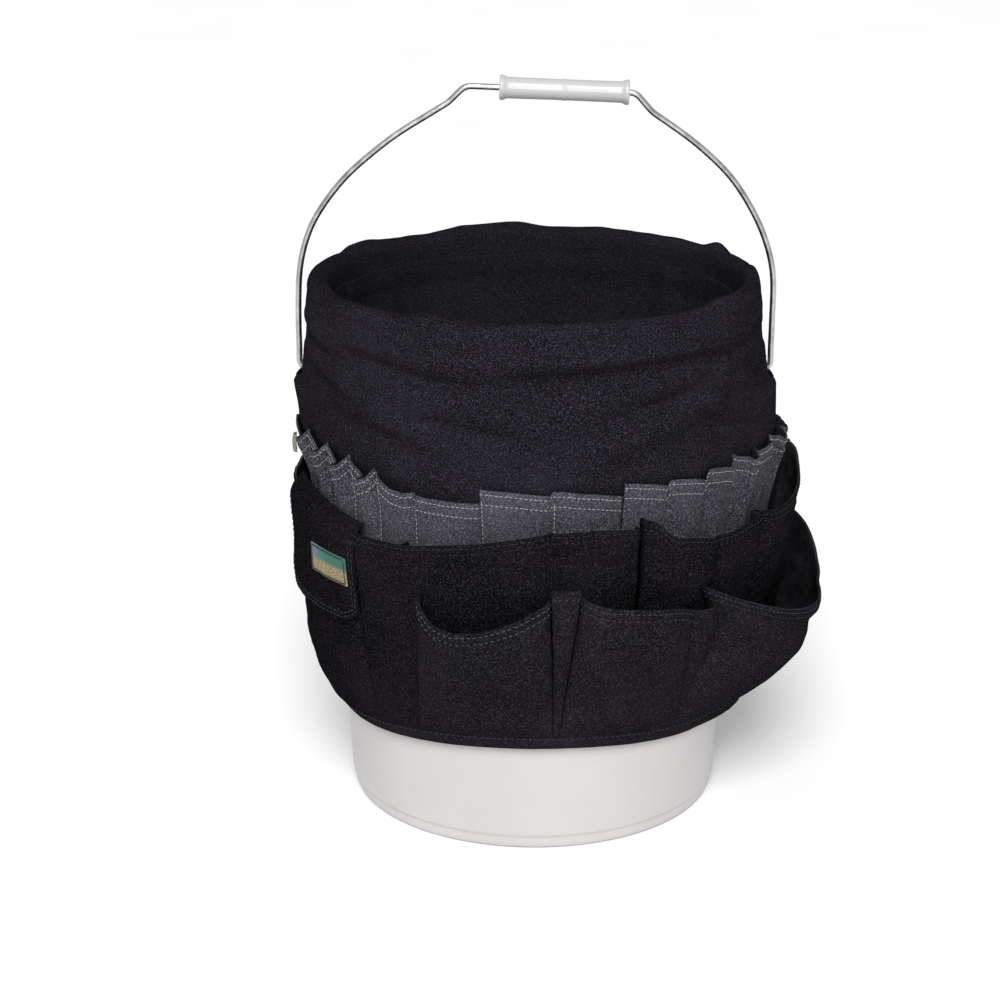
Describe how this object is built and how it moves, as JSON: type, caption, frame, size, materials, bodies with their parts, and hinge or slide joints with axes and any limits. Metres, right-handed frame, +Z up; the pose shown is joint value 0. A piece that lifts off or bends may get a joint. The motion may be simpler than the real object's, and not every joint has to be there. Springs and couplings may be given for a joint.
{
  "type": "tool bucket organizer",
  "caption": "Round plastic pail with a swinging wire bail, wearing a fabric jacket of open pockets with a gray pocket strip and a closing flap.",
  "frame": {"origin": "centre of the flat underside of the pail, on the surface it stands on", "axes": "+Z up along the pail's axis, -Y towards the front with the two widest pockets, +X towards the side with the bulging pocket; the bail's hinge runs along X"},
  "size_m": [0.3738, 0.3848, 0.5078],
  "materials": {
    "pail_plastic": "off-white moulded plastic with a soft sheen",
    "bail_steel": "galvanised drawn wire",
    "grip_plastic": "white moulded tube",
    "black_canvas": "heavy woven black nylon, coated on the back",
    "gray_denim": "blue-gray woven cloth with white stitching",
    "black_tape": "ribbed black binding tape",
    "gray_tape": "folded woven tape",
    "label": "plain woven label without lettering"
  },
  "bodies": {
    "bucket": {"pail": "pail_plastic", "outer_skirt": "black_canvas", "rim_collar": "black_canvas", "inner_liner": "black_canvas", "middle_pocket_strip": "black_canvas", "middle_pocket_front": "black_canvas", "middle_pocket_front_right": "black_canvas", "middle_pocket_right": "black_canvas", "middle_pocket_back_right": "black_canvas", "middle_pocket_back_1": "black_canvas", "middle_pocket_back_2": "black_canvas", "middle_pocket_back_left": "black_canvas", "middle_pocket_left": "black_canvas", "large_pocket_front_left": "black_canvas", "large_pocket_front_right": "black_canvas", "large_pocket_right": "black_canvas", "large_pocket_back_right": "black_canvas", "large_pocket_back_1": "black_canvas", "large_pocket_back_2": "black_canvas", "large_pocket_back_left": "black_canvas", "flap_pocket": "black_canvas", "gray_pockets_01": "gray_denim", "gray_pockets_02": "gray_denim", "gray_pockets_03": "gray_denim", "gray_pockets_04": "gray_denim", "gray_pockets_05": "gray_denim", "gray_pockets_06": "gray_denim", "gray_pockets_07": "gray_denim", "gray_pockets_08": "gray_denim", "gray_pockets_09": "gray_denim", "gray_pockets_10": "gray_denim", "bottom_hem": "black_tape", "bail_slot_binding_left": "black_tape", "bail_slot_binding_right": "black_tape", "side_tab": "gray_tape"},
    "bail": {"bail_wire": "bail_steel"},
    "grip": {"bail_grip": "grip_plastic"},
    "flap": {"pocket_flap": "black_canvas", "flap_hook_tape": "black_tape", "label_patch": "label"}
  },
  "joints": [
    {"name": "bail_hinge", "type": "hinge", "parent": "bucket", "child": "bail", "pos_m": [0, 0, 0.306], "axis": [1, 0, 0], "range_deg": [-90, 90]},
    {"name": "grip_spin", "type": "hinge", "parent": "bail", "child": "grip", "pos_m": [0.01903, 0, 0.4978], "axis": [0.9993, 0, -0.0375], "continuous": true},
    {"name": "flap_hinge", "type": "hinge", "parent": "bucket", "child": "flap", "pos_m": [-0.14169, -0.07454, 0.237], "axis": [-0.4656, 0.885, 0], "range_deg": [0, 110]}
  ]
}
